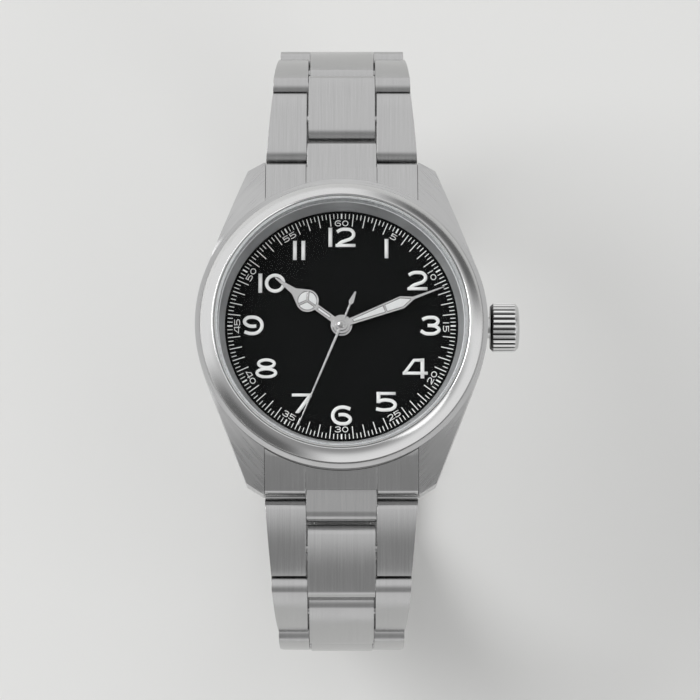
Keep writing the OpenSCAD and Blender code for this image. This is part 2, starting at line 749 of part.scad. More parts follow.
all_pillars = concat(pillars, [cock_pillar]);

module train_bridge() color(STEEL) difference() {
    translate([0, 0, bridge_low]) linear_extrude(bridge_t) difference() {
        circle(plate_r - 0.3);
        circle(0.2);
        translate(balance_at) circle(balance_r + 1);
        translate(balance_at) rotate(escape_line) translate([0, -balance_r - 1])
            square([plate_r, 2 * (balance_r + 1)]);
        bar_2d(balance_at, balance_at + 1.8 * (cock_pillar - balance_at), 2.8);
        for (p = [third_at, escape_at, barrel_at]) translate(p) circle(0.2);
        for (p = pillars) translate(p) circle(0.42);
    }
    translate([0, 0, bridge_low]) hole(0.45, 0.1);
}
module balance_cock() color(STEEL) difference() {
    translate([0, 0, bridge_low]) linear_extrude(bridge_t) difference() {
        bar_2d(balance_at, cock_pillar, 2.4);
        translate(balance_at) circle(0.2);
        translate(cock_pillar) circle(0.42);
    }
}
// The little bridge that holds the pallet fork under the balance
module pallet_bridge() color(STEEL) difference() {
    low = fork_z - 0.35;
    translate([0, 0, low]) linear_extrude(0.2) bar_2d(fork_feet[0], fork_feet[1], 1.2);
    translate(concat(fork_at, low)) hole(0.2, 0.2);
    for (p = fork_feet) translate(concat(p, low)) hole(0.25, 0.2);
}
module bridge_screws() color(STEEL) for (p = all_pillars) translate(concat(p, 0)) difference() {
    union() {
        translate([0, 0, bridge_low - 0.22]) cylinder(r = 0.75, h = 0.2);
        translate([0, 0, bridge_low - 0.1]) cylinder(r = 0.3, h = 1.5);
    }
    translate([-1, -0.1, bridge_low - 0.5]) cube([2, 0.2, 0.38]);
}

// A wheel on its arbor, with pivots in the plate and the bridge
module arbor(r) {
    translate([0, 0, bridge_low + 0.15]) cylinder(r = 0.15, h = plate_low + 0.2 - bridge_low);
    translate([0, 0, bridge_top + 0.05]) cylinder(r = r, h = plate_low - bridge_top - 0.1);
}
module barrel() color(BRASS) translate(barrel_at) {
    difference() {
        translate([0, 0, barrel_low]) gear(barrel_r, barrel_teeth, 0.25, barrel_top - barrel_low);
        translate([0, 0, barrel_low + 0.12]) cylinder(r = barrel_r - 0.6, h = barrel_top - barrel_low - 0.24);
    }
    arbor(0.4);
}
// A flat spiral of n turns from radius r0 to r1, t thick
module spiral(r0, r1, n, t, h) {
    steps = n * 16;
    function at(i, side) = polar(r0 + (r1 - r0) * i / steps + side * t / 2, 360 * n * i / steps);
    linear_extrude(h) polygon(concat(
        [for (i = [0 : steps]) at(i, 1)],
        [for (i = [steps : -1 : 0]) at(i, -1)]));
}
module mainspring() color(STEEL) translate(concat(barrel_at, barrel_low + 0.16))
    spiral(0.55, barrel_r - 0.75, 8, 0.14, barrel_top - barrel_low - 0.34);
module centre_wheel() color(BRASS) {
    translate([0, 0, centre_z]) difference() {
        spoked_wheel(centre_r, centre_teeth, wheel_t);
        hole(0.35, 1);
    }
    translate([0, 0, centre_pinion_z]) difference() {
        gear(centre_pinion_r, centre_pinion_teeth, 0.15, pinion_h + 0.01);
        hole(0.35, 1);
    }
    translate([0, 0, centre_z]) tube(tube_r, 0.35, minute_z - centre_z);
    translate([0, 0, cannon_z]) difference() {
        gear(cannon_r, cannon_teeth, 0.15, motion_t);
        hole(0.5, 1);
    }
}
module third_wheel() color(BRASS) translate(third_at) {
    translate([0, 0, third_z]) spoked_wheel(third_r, third_teeth, wheel_t);
    translate([0, 0, centre_z - 0.1]) gear(third_pinion_r, pinion_teeth, 0.12, 0.3);
    arbor(0.2);
}
module fourth_wheel() color(BRASS) {
    translate([0, 0, fourth_z]) spoked_wheel(fourth_r, fourth_teeth, wheel_t);
    translate([0, 0, fourth_z + 0.1]) gear(fourth_pinion_r, pinion_teeth, 0.12, third_z + wheel_t - fourth_z);
    translate([0, 0, bridge_low + 0.2]) cylinder(r = 0.15, h = bridge_t);
    translate([0, 0, fourth_z]) cylinder(r = 0.25, h = seconds_z - fourth_z);
}
module escape_wheel() color(STEEL) translate(escape_at) {
    translate([0, 0, fork_z]) difference() {
        gear(escape_r, escape_teeth, 0.3, 0.13);
        translate([0, 0, -0.5]) linear_extrude(1) difference() {
            circle(escape_r - 0.65);
            circle(0.5);
            for (a = [0, 90]) rotate(a) square([4, 0.24], center = true);
        }
    }
    translate([0, 0, fourth_z - 0.06]) gear(escape_pinion_r, pinion_teeth, 0.1, 0.3);
    arbor(0.2);
}
module pallet_fork() color(STEEL) translate(fork_at) {
    rotate(escape_line) translate([0, 0, fork_z]) linear_extrude(0.13) {
        bar_2d([0, -1.25], [0, 1.25], 0.35);
        bar_2d([0, 0], [1.1, 0], 0.35);
        circle(0.4);
    }
    translate([0, 0, fork_z - 0.3]) cylinder(r = 0.15, h = plate_low + 0.2 - fork_z + 0.3);
}
module balance_wheel() color(BRASS) translate(balance_at) {
    translate([0, 0, bridge_top + 0.26]) {
        tube(balance_r, balance_r - 0.5, 0.36);
        linear_extrude(0.2) for (a = [0, 90]) rotate(a) square([2 * balance_r - 0.6, 0.4], center = true);
        cylinder(r = 0.6, h = 0.2);
    }
    arbor(0.2);
}
module hairspring() color(STEEL) translate(concat(balance_at, bridge_top + 0.06)) {
    spiral(0.6, 2, 5, 0.08, 0.14);
}
module minute_wheel() color(BRASS) translate(minute_wheel_at) {
    translate([0, 0, cannon_z]) gear(minute_wheel_r, minute_wheel_teeth, 0.2, motion_t);
    translate([0, 0, cannon_z])
        gear(minute_pinion_r, minute_pinion_teeth, 0.12, hour_wheel_z + motion_t - cannon_z);
    translate([0, 0, plate_top - 0.4]) cylinder(r = 0.2, h = 0.6);
}
module hour_wheel() color(BRASS) {
    translate([0, 0, hour_wheel_z]) difference() {
        gear(hour_wheel_r, hour_wheel_teeth, 0.2, motion_t);
        hole(1 + fit_c, 1);
    }
}
module setting_lever() color(STEEL) {
    // a fork in the stem's groove, and the plate that it is part of
    translate([stem_groove_x + 0.05, 0, 0]) difference() {
        translate([0, -1.3, plate_low - 0.35]) cube([0.4, 2.6, 0.9]);
        translate([-0.5, -0.35, crown_z - 0.35]) cube([2, 0.7, 2]);
    }
}
module rotor_bearing() color(STEEL) {
    translate([0, 0, rotor_low]) cylinder(r = rotor_hub_r, h = bridge_low - rotor_low - fit_c);
}
rotor_hub_r = 1.5;
module rotor() color(STEEL) {
    web_z = rotor_low + rotor_h - 0.25;
    translate([0, 0, web_z - 0.05]) tube(rotor_hub_r + 0.8, rotor_hub_r + run_c, 0.3);
    translate([0, 0, web_z]) linear_extrude(0.25) rotor_plan(rotor_hub_r + 0.5, plate_r - 0.5);
    translate([0, 0, rotor_low]) linear_extrude(rotor_h) rotor_plan(plate_r - 2.4, plate_r - 0.45);
}
module rotor_plan(inner, outer) {
    difference() {
        intersection() {
            circle(outer);
            translate([-outer, -outer]) square([2 * outer, outer + 1]);
        }
        circle(inner);
    }
}

// Hands, drawn towards 12 o'clock and turned to the time

module turn_to(a) { rotate(-a) children(); }
module hand_hub(r, bore, low, high) { translate([0, 0, low]) tube(r, bore, high - low); }
// A bulb with three windows between a stem and a needle
module hour_hand() color(POLISHED) {
    bulb = hour_len - hour_needle;
    turn_to(hour_at) translate([0, 0, hour_z]) linear_extrude(hand_t) difference() {
        union() {
            circle(1.4);
            translate([-0.42, 0]) square([0.84, bulb]);
            translate([0, bulb]) circle(1.5);
            polygon([[-1.2, bulb + 0.9], [1.2, bulb + 0.9], [0.45, bulb + 2.2], [0.08, hour_len],
                [-0.08, hour_len], [-0.45, bulb + 2.2]]);
        }
        circle(tube_r + run_c);
        hour_windows(bulb);
    }
    hand_hub(1, tube_r + run_c, hour_wheel_z, hour_z + hand_t / 2);
}
module hour_windows(bulb) {
    difference() {
        translate([0, bulb]) circle(1.25);
        translate([-0.11, bulb - 2]) square([0.22, 2]);
        for (s = [-1, 1]) translate([0, bulb]) rotate(s * 60) translate([-0.11, 0]) square([0.22, 2]);
    }
    polygon([[-0.2, 1.8], [0.2, 1.8], [0.2, bulb - 1.7], [-0.2, bulb - 1.7]]);
}
module minute_hand() color(POLISHED) {
    body = minute_len - minute_needle;
    turn_to(minute_at) translate([0, 0, minute_z]) linear_extrude(hand_t) difference() {
        union() {
            circle(1.15);
            polygon([[-0.36, 0], [0.36, 0], [0.85, body - 1.2], [0.2, body + 0.4], [0.08, minute_len],
                [-0.08, minute_len], [-0.2, body + 0.4], [-0.85, body - 1.2]]);
        }
        circle(0.35);
        minute_windows(body);
    }
}
module minute_windows(body) {
    difference() {
        polygon([[-0.2, 1.6], [0.2, 1.6], [0.62, body - 1.25], [0.1, body],
            [-0.1, body], [-0.62, body - 1.25]]);
        translate([-1, body * 0.62]) square([2, 0.2]);
    }
}
module seconds_hand() color(POLISHED) {
    tail = seconds_tail;
    turn_to(seconds_at) translate([0, 0, seconds_z]) linear_extrude(seconds_t) {
        circle(0.8);
        polygon([[-0.16, 0], [0.16, 0], [0.07, seconds_len], [-0.07, seconds_len]]);
        polygon([[-0.13, 0], [0.13, 0], [0.11, 1.85 - tail], [0.36, 1.5 - tail], [0.1, -tail],
            [-0.1, -tail], [-0.36, 1.5 - tail], [-0.11, 1.85 - tail]]);
    }
    translate([0, 0, seconds_z]) cylinder(r = 0.5, h = seconds_t + 0.2);
}

mid_case();
bezel();
crystal();
crystal_gasket();
rehaut_ring();
dial();
case_back();
case_back_gasket();
movement_ring();
crown_tube();
crown();
winding_stem();
crown_gasket();
lug_spring_bars();
end_link_12();
end_link_6();
main_plate();
train_bridge();
balance_cock();
pallet_bridge();
bridge_screws();
barrel();
mainspring();
centre_wheel();
third_wheel();
fourth_wheel();
escape_wheel();
pallet_fork();
balance_wheel();
hairspring();
minute_wheel();
hour_wheel();
setting_lever();
rotor();
rotor_bearing();
hour_hand();
minute_hand();
seconds_hand();
connector_12();
connector_6();
clasp_leaf_inner();
clasp_leaf_outer();
clasp_cover();
clasp_pusher_left();
clasp_pusher_right();
clasp_spring_bar();
for (i = [1 : LINKS]) {
    link_12(i);
    link_6(i);
}
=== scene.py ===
import math
import bpy
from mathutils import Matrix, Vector


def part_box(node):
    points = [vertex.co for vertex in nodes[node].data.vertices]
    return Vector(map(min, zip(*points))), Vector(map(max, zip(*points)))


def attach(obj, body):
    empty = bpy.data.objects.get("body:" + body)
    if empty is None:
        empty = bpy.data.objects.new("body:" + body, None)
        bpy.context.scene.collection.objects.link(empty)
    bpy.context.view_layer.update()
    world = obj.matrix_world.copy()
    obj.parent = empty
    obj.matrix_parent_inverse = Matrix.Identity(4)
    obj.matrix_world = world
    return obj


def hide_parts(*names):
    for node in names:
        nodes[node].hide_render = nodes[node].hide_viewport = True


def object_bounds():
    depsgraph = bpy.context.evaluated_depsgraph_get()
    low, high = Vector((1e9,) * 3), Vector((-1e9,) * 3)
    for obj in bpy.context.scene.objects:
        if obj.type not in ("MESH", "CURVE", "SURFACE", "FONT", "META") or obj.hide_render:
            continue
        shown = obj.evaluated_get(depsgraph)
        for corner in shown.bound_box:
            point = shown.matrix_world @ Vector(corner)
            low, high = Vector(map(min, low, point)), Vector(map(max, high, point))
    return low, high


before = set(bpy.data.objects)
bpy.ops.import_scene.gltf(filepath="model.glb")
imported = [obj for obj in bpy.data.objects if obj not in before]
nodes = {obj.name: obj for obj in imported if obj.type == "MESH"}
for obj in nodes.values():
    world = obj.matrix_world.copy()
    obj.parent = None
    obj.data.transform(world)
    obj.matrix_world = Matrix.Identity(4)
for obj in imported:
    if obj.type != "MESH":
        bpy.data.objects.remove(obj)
cad_low, cad_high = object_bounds()

# Studio. A pale floor under the clasp that the watch stands on, and a grey room round it. Low down
# its walls are darker to the upper right and lower left, as the reflections in the bezel show, and
# higher up the room is darker on the 6 o'clock side, as those in the lugs and links show.


def deselect():
    """Leaves nothing selected for the next operator to act on."""
    bpy.ops.object.select_all(action="DESELECT")


def node(tree, kind, **inputs):
    """A node of a tree, with values or other nodes' outputs on its sockets."""
    made = tree.nodes.new("ShaderNode" + kind)
    for key, value in inputs.items():
        socket = made.inputs[int(key[1:])] if key[1:].isdigit() else made.inputs[key.replace("_", " ")]
        if isinstance(value, bpy.types.NodeSocket):
            tree.links.new(value, socket)
        else:
            socket.default_value = value
    return made


def new_finish(name, colour, metal, rough):
    """A new material with its node tree and its surface."""
    material = bpy.data.materials.new(name)
    material.use_nodes = True
    surface = material.node_tree.nodes["Principled BSDF"]
    surface.inputs["Base Color"].default_value = (*colour, 1)
    surface.inputs["Metallic"].default_value = metal
    surface.inputs["Roughness"].default_value = rough
    return material, material.node_tree, surface


def eased(tree, value, low, high, at_low, at_high):
    """A light level that eases from one to another as a direction goes from low to high."""
    step = node(tree, "MapRange", Value=value, From_Min=low, From_Max=high, To_Min=at_low, To_Max=at_high)
    step.interpolation_type = "SMOOTHSTEP"
    return step.outputs["Result"]


floor_size = 1.2
deselect()
bpy.ops.mesh.primitive_plane_add(size=floor_size, location=(0, 0, cad_low.z))
floor = bpy.context.object
floor.name = "floor"
floor.data.materials.append(new_finish("floor_paper", (0.74, 0.74, 0.73), 0, 0.9)[0])

room = bpy.data.worlds.new("room")
bpy.context.scene.world = room
room.use_nodes = True
air = room.node_tree
background = air.nodes["Background"]
way = node(air, "SeparateXYZ", _0=node(air, "TexCoord").outputs["Generated"]).outputs
corners = node(air, "Math", _0=way["X"], _1=way["Y"])
corners.operation = "MULTIPLY"
walls = eased(air, corners.outputs[0], low=0.05, high=0.45, at_low=0.95, at_high=0.15)
ceiling = eased(air, way["Y"], low=-0.55, high=0.25, at_low=0.35, at_high=0.9)
over_walls = eased(air, way["Z"], low=0.15, high=0.5, at_low=0, at_high=1)
level = node(air, "Mix", _0=over_walls, _2=walls, _3=ceiling)
air.links.new(level.outputs[0], background.inputs["Strength"])
background.inputs["Color"].default_value = (1, 1, 1, 1)

lamp_size = 0.5
for name, place, power in (("key_lamp", (-0.55, 0.2, 0.55), 2.9), ("fill_lamp", (0.45, -0.4, 0.5), 0.7)):
    lamp = bpy.data.lights.new(name, "AREA")
    lamp.shape = "DISK"
    lamp.size = lamp_size
    lamp.energy = power
    holder = bpy.data.objects.new(name, lamp)
    bpy.context.collection.objects.link(holder)
    holder.location = place
    holder.rotation_euler = (-Vector(place)).to_track_quat("-Z", "Y").to_euler()

# Camera. It looks down on the dial from 9 degrees on the 6 o'clock side, through a long lens, and
# aims a little below and to the right of the dial's middle.
mm = 0.001
elevation = math.radians(81)
aim = Vector((1.1, -3.6, 9)) * mm
distance = 450 * mm
camera = bpy.data.objects.new("camera", bpy.data.cameras.new("camera"))
bpy.context.collection.objects.link(camera)
camera.location = aim + distance * Vector((0, -math.cos(elevation), math.sin(elevation)))
camera.rotation_euler = (math.pi / 2 - elevation, 0, 0)
camera.data.lens = 179
camera.data.sensor_width = 36
camera.data.clip_start = 0.01
bpy.context.scene.camera = camera
bpy.context.scene.view_settings.view_transform = "Standard"


def grain(tree, surface, colour, rough, where, depth, tint=0.05, spread=0.05):
    """Fine lines and soft clouds on colour, gloss and height."""
    cloud_scale = 160
    line_height = 0.01 * mm
    lines = node(tree, "TexNoise", Vector=where, Scale=1.0, Detail=5.0, Roughness=0.7).outputs["Fac"]
    place = node(tree, "TexCoord").outputs["Object"]
    cloud = node(tree, "TexNoise", Vector=place, Scale=cloud_scale, Detail=2.0).outputs["Fac"]
    both = node(tree, "Math", _0=lines, _1=cloud).outputs[0]
    gloss = node(tree, "MapRange", Value=both, From_Min=0.75, From_Max=1.25, To_Min=rough - spread,
                 To_Max=rough + spread).outputs[0]
    tree.links.new(gloss, surface.inputs["Roughness"])
    shade = node(tree, "MapRange", Value=lines, From_Min=0.3, From_Max=0.7, To_Min=1 - tint,
                 To_Max=1 + tint).outputs[0]
    toned = node(tree, "VectorMath", _0=colour, _1=shade)
    toned.operation = "MULTIPLY"
    tree.links.new(toned.outputs[0], surface.inputs["Base Color"])
    bump = node(tree, "Bump", Height=lines, Strength=depth, Distance=line_height)
    tree.links.new(bump.outputs[0], surface.inputs["Normal"])


def lie(tree, surface, axis, pull):
    """Stretches the gloss across lines that run round an axis."""
    surface.inputs["Anisotropic"].default_value = pull
    round_axis = tree.nodes.new("ShaderNodeTangent")
    round_axis.direction_type = "RADIAL"
    round_axis.axis = axis
    tree.links.new(round_axis.outputs[0], surface.inputs["Tangent"])


def turned_lines(tree, across, along):
    """Coordinates that change fast over radius and height, and slowly round the dial."""
    place = node(tree, "TexCoord").outputs["Object"]
    flat = node(tree, "Mapping", Vector=place, Scale=(1, 1, 0)).outputs[0]
    radius = node(tree, "VectorMath", _0=flat)
    radius.operation = "LENGTH"
    split = node(tree, "SeparateXYZ", _0=place).outputs
    outwards = node(tree, "Math", _0=radius.outputs["Value"], _1=split["Z"]).outputs[0]
    lines = node(tree, "CombineXYZ", X=outwards, Y=split["X"], Z=split["Y"]).outputs[0]
    return node(tree, "Mapping", Vector=lines, Scale=(across, along, along)).outputs[0]


def ground_round_dial():
    """Steel ground with a fine belt, in lines that run round the dial."""
    colour, rough = (0.50, 0.50, 0.50), 0.3
    material, tree, surface = new_finish("steel_ground_round", colour, 1, rough)
    grain(tree, surface, colour, rough, turned_lines(tree, across=5200, along=120), depth=0.5)
    lie(tree, surface, "Z", 0.5)
    return material


def break_edges(piece, width, angle=30, segments=2):
    """Breaks a piece's edges that turn by more than an angle in degrees, to a width in mm."""
    broken = piece.modifiers.new("broken_edges", "BEVEL")
    broken.width = width * mm
    broken.segments = segments
    broken.limit_method = "ANGLE"
    broken.angle_limit = math.radians(angle)
    bpy.ops.object.modifier_apply(modifier=broken.name)


def even_faces(piece, angle):
    """Smooths a piece's faces up to an angle in degrees, and keeps its wide faces even."""
    bpy.ops.object.shade_smooth_by_angle(angle=math.radians(angle))
    even = piece.modifiers.new("even_faces", "WEIGHTED_NORMAL")
    even.keep_sharp = True
    bpy.ops.object.modifier_apply(modifier=even.name)


def turned(name, outline, material, body=None, edge=0.03, sides=256):
    """A ring turned about the dial's axis from an outline of (radius, height) in mm."""
    deselect()
    radius, height = outline[0]
    bpy.ops.mesh.primitive_circle_add(vertices=sides, radius=radius * mm, location=(0, 0, height * mm))
    ring = bpy.context.object
    ring.name = name
    bpy.ops.object.transform_apply(location=True, rotation=True, scale=True)
    bpy.ops.object.mode_set(mode="EDIT")
    for next_radius, next_height in outline[1:] + outline[:1]:
        bpy.ops.mesh.extrude_region_move(
            TRANSFORM_OT_translate={"value": (0, 0, (next_height - height) * mm)})
        bpy.ops.transform.resize(value=(next_radius / radius, next_radius / radius, 1),
                                 center_override=(0, 0, 0))
        radius, height = next_radius, next_height
    bpy.ops.mesh.select_all(action="SELECT")
    bpy.ops.mesh.remove_doubles(threshold=1e-6)
    bpy.ops.mesh.normals_make_consistent(inside=False)
    bpy.ops.object.mode_set(mode="OBJECT")
    if edge:
        break_edges(ring, edge, angle=25)
    even_faces(ring, angle=35)
    ring.data.materials.append(material)
    if body:
        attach(ring, body)
    return ring


def turned_size(name):
    """Radius, lowest level and highest level in mm of a CAD node turned about the dial's axis."""
    low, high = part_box(name)
    return round(high.x / mm, 3), round(low.z / mm, 3), round(high.z / mm, 3)


def pick(*pieces):
    """Selects these pieces alone, with the first one active."""
    deselect()
    for piece in pieces:
        piece.select_set(True)
    bpy.context.view_layer.objects.active = pieces[0]


def finish_solid(name, material, body, edge, cutter=None):
    """A copy of a CAD solid with its points merged and its sharp edges broken, in the node's place."""
    piece = bpy.data.objects.new(name + "_finished", nodes[name].data.copy())
    bpy.context.collection.objects.link(piece)
    piece.data.materials.clear()
    piece.data.materials.append(material)
    pick(piece)
    bpy.ops.mesh.customdata_custom_splitnormals_clear()
    bpy.ops.object.mode_set(mode="EDIT")
    bpy.ops.mesh.select_all(action="SELECT")
    bpy.ops.mesh.remove_doubles(threshold=2e-7)
    bpy.ops.mesh.dissolve_limited(angle_limit=math.radians(0.6))
    bpy.ops.object.mode_set(mode="OBJECT")
    if cutter:
        groove = piece.modifiers.new("groove", "BOOLEAN")
        groove.operation = "DIFFERENCE"
        groove.object = cutter
        bpy.ops.object.modifier_apply(modifier=groove.name)
        bpy.data.objects.remove(cutter)
    break_edges(piece, edge)
    even_faces(piece, angle=46)
    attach(piece, body)
    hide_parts(name)
    return piece


ground_round = ground_round_dial()
line_in, line_out, line_low, line_top = 18.25, 18.4, 8.4, 9.0
joint_line = turned("joint_line", [(line_in, line_low), (line_out, line_low), (line_out, line_top),
                                   (line_in, line_top)], ground_round, edge=0)
finish_solid("mid_case", ground_round, "case", edge=0.06, cutter=joint_line)

# Case back and its seal. The back is turned from the same steel and polished, and is screwed up
# against a rubber ring with six notches for the key.


def polished_round_dial():
    """Steel polished on the lathe, with the faintest lines left round the dial."""
    colour, rough = (0.60, 0.60, 0.60), 0.14
    material, tree, surface = new_finish("steel_polished_round", colour, 1, rough)
    lines = turned_lines(tree, across=3600, along=60)
    grain(tree, surface, colour, rough, lines, depth=0.12, tint=0.015, spread=0.025)
    return material


def piece_lines(tree, x, y, z):
    """Coordinates on the piece itself that change x, y and z times in a metre."""
    place = node(tree, "TexCoord").outputs["Object"]
    return node(tree, "Mapping", Vector=place, Scale=(x, y, z)).outputs[0]


def rubber():
    """Moulded black rubber with a fine matt skin."""
    colour, rough = (0.03, 0.03, 0.032), 0.6
    material, tree, surface = new_finish("black_rubber", colour, 0, rough)
    grain(tree, surface, colour, rough, piece_lines(tree, 2500, 2500, 2500), depth=0.3)
    return material


def coat(material, *names):
    """Gives carried-over CAD nodes a material."""
    for name in names:
        for place in nodes[name].material_slots:
            place.material = material


polished = polished_round_dial()
finish_solid("case_back", polished, "case", edge=0.08)
coat(rubber(), "case_back_gasket", "crown_gasket")

# Movement. Brass plate and wheels, grained with a spinning pad, under bridges, springs and screws
# of bare steel. It is held in the case by a plain steel ring.


def brass():
    """Brass grained in short arcs round the dial."""
    colour, rough = (0.70, 0.54, 0.26), 0.32
    material, tree, surface = new_finish("grained_brass", colour, 1, rough)
    grain(tree, surface, colour, rough, turned_lines(tree, across=4500, along=500), depth=0.4)
    return material


def bare_steel():
    """Steel as the file and the stone leave it, in straight lines."""
    colour, rough = (0.58, 0.58, 0.59), 0.3
    material, tree, surface = new_finish("bare_steel", colour, 1, rough)
    grain(tree, surface, colour, rough, piece_lines(tree, 6000, 400, 6000), depth=0.4)
    return material


coat(brass(), "main_plate", "barrel", "centre_wheel", "third_wheel", "fourth_wheel", "balance_wheel",
     "minute_wheel", "hour_wheel")
coat(bare_steel(), "movement_ring", "train_bridge", "balance_cock", "pallet_bridge", "bridge_screws",
     "mainspring", "hairspring", "escape_wheel", "pallet_fork", "setting_lever", "rotor",
     "rotor_bearing", "winding_stem", "lug_spring_bars", "clasp_spring_bar")
coat(polished, "crown_tube")

# Dial. A thin disc with a matt black finish. Its numerals, minute track and minute figures are
# printed in white, in several passes that leave the paint a little proud.
dial_face = turned_size("dial")[2]
paint_thick = 0.03
paint_rise = 0.013
bend_steps = 7


def dial_black():
    """Matt black lacquer that hardly shines."""
    colour, rough = (0.003, 0.0035, 0.0035), 0.55
    material, tree, surface = new_finish("dial_black", colour, 0, rough)
    surface.inputs["Specular IOR Level"].default_value = 0.05
    grain(tree, surface, colour, rough, piece_lines(tree, 9000, 9000, 9000), depth=0.04, tint=0.12)
    return material


def white_paint(name, colour, rough):
    """White paint with a fine, slightly uneven skin."""
    material, tree, surface = new_finish(name, colour, 0, rough)
    grain(tree, surface, colour, rough, piece_lines(tree, 7000, 7000, 7000), depth=0.25, tint=0.03)
    return material


def paint_line(points, width, closed, bend):
    """One painted line through points in mm, straight or bent between them, as a mesh."""
    deselect()
    bpy.ops.curve.primitive_bezier_curve_add()
    line = bpy.context.object
    spline = line.data.splines[0]
    spline.bezier_points.add(len(points) - 2)
    spline.use_cyclic_u = closed
    spline.resolution_u = bend_steps if bend else 1
    for knot, (x, y) in zip(spline.bezier_points, points):
        knot.co = (x, y, 0)
        knot.handle_left_type = knot.handle_right_type = "AUTO" if bend else "VECTOR"
        knot.tilt = math.pi / 2
    line.data.twist_mode = "Z_UP"
    line.data.extrude = width / 2
    body = line.modifiers.new("paint", "SOLIDIFY")
    body.thickness = paint_thick
    body.offset = 0
    bpy.ops.object.convert(target="MESH")
    return line


def straight(width, *points):
    """A line with straight runs and sharp corners, as paint_line takes it."""
    return points, width, False, False


def curved(points, closed=False, width=0.49):
    """A line that bends smoothly through its points, as paint_line takes it."""
    return points, width, closed, True


def oval(middle_y, half_width, half_height):
    """Points round an oval in the middle of a numeral."""
    points = 16
    step = 2 * math.pi / points
    return [(half_width * math.cos(i * step), middle_y + half_height * math.sin(i * step))
            for i in range(points)]


# Each numeral is drawn in mm about its own middle.
nine = [(0.395, -0.084), (-0.173, -0.119), (-0.717, 0.015), (-1.137, 0.475), (-0.865, 0.93),
        (-0.173, 1.088), (0.519, 0.954), (0.964, 0.583), (1.137, 0.04), (0.964, -0.554),
        (0.519, -0.949), (-0.124, -1.088), (-0.717, -0.999), (-1.137, -0.826)]
three_top = [(-1.02, 0.79), (-0.527, 1.02), (0.13, 1.088), (0.725, 0.99), (1.02, 0.626),
             (0.725, 0.165), (0.2, 0.033), (-0.33, 0.033)]
three_low = [(-0.33, 0.033), (0.26, 0.01), (0.79, -0.13), (1.134, -0.56), (0.725, -0.956),
             (0, -1.074), (-0.66, -1.0), (-1.22, -0.66)]
two = [(-1.06, 0.72), (-0.56, 1.0), (0.13, 1.07), (0.82, 0.92), (1.12, 0.376), (0.82, -0.12),
       (0.13, -0.415), (-0.56, -0.71), (-1.11, -1.26)]
five_bowl = [(-1.06, 0.01), (-0.46, 0.2), (0.13, 0.2), (0.82, 0.01), (1.12, -0.435), (0.82, -0.88),
             (0.03, -1.08), (-0.66, -1.08), (-1.35, -0.93)]
numeral_lines = {
    0: [curved(oval(0, 1.11, 1.04), closed=True)],
    1: [straight(0.54, (0, 1.275), (0, -1.275))],
    2: [curved(two), straight(0.44, (-1.25, -1.08), (1.36, -1.08))],
    3: [curved(three_top), curved(three_low)],
    4: [straight(0.54, (0.94, 1.32), (0.94, -1.32)), straight(0.43, (-1.63, -0.61), (1.63, -0.61)),
        straight(0.45, (0.94, 1.09), (-0.15, 1.09), (-1.43, -0.64))],
    5: [straight(0.42, (1.17, 1.07), (-1.3, 1.07)), straight(0.54, (-1.04, 1.28), (-1.04, -0.19)),
        curved(five_bowl)],
    6: [curved([(-x, -y) for x, y in nine])],
    7: [straight(0.42, (-1.29, 1.07), (1.29, 1.07)), straight(0.52, (1.03, 0.95), (-0.67, -1.36))],
    8: [curved(oval(0.61, 1.02, 0.5), closed=True, width=0.43),
        curved(oval(-0.61, 1.22, 0.53), closed=True, width=0.43)],
    9: [curved(nine)],
}
numeral_foot, numeral_top = -1.3, 1.33


def join(pieces, name):
    """Several pieces made one."""
    pick(*pieces)
    if len(pieces) > 1:
        bpy.ops.object.join()
    whole = bpy.context.object
    whole.name = name
    return whole


def numeral(figure, weight):
    """One numeral about its own middle in mm, its loose ends cut level with its top and foot."""
    layer = 0.004
    lines = [paint_line(points, width * weight, *kind) for points, width, *kind in numeral_lines[figure]]
    for i, line in enumerate(lines[1:]):
        line.location.z = layer * (i + 1)
    whole = join(lines, "numeral_" + str(figure))
    for below, level in ((True, numeral_foot), (False, numeral_top)):
        bpy.ops.object.mode_set(mode="EDIT")
        bpy.ops.mesh.select_all(action="SELECT")
        bpy.ops.mesh.bisect(plane_co=(0, level, 0), plane_no=(0, 1, 0), use_fill=True,
                            clear_inner=below, clear_outer=not below)
        bpy.ops.object.mode_set(mode="OBJECT")
    return whole


def put(piece, x, y, z, turn=0, size=1):
    """Moves and turns a piece drawn in mm to its place, and leaves its object at the origin."""
    piece.location = (x * mm, y * mm, z * mm)
    piece.rotation_euler = (0, 0, turn)
    piece.scale = (size * mm, size * mm, mm)
    pick(piece)
    bpy.ops.object.transform_apply(location=True, rotation=True, scale=True)
    return piece


def copy_of(piece):
    """A copy with its own mesh."""
    twin = piece.copy()
    twin.data = piece.data.copy()
    bpy.context.collection.objects.link(twin)
    return twin


def ticks(angles, steps, width, inner, outer):
    """Painted ticks at some angles in degrees, repeated evenly round the dial, in mm."""
    first = []
    for angle in angles:
        deselect()
        bpy.ops.mesh.primitive_cube_add(size=1, location=(0, (inner + outer) / 2, 0),
                                        scale=(width, outer - inner, paint_thick))
        bpy.ops.object.transform_apply(location=True, rotation=True, scale=True)
        bpy.context.object.rotation_euler = (0, 0, math.radians(angle))
        bpy.ops.object.transform_apply(location=True, rotation=True, scale=True)
        first.append(bpy.context.object)
    track = join(first, "ticks")
    bpy.ops.object.mode_set(mode="EDIT")
    bpy.ops.mesh.select_all(action="SELECT")
    bpy.ops.mesh.spin(steps=steps, dupli=True, angle=2 * math.pi, center=(0, 0, 0), axis=(0, 0, 1))
    bpy.ops.mesh.select_all(action="SELECT")
    bpy.ops.mesh.remove_doubles(threshold=0.0005)
    bpy.ops.object.mode_set(mode="OBJECT")
    return track


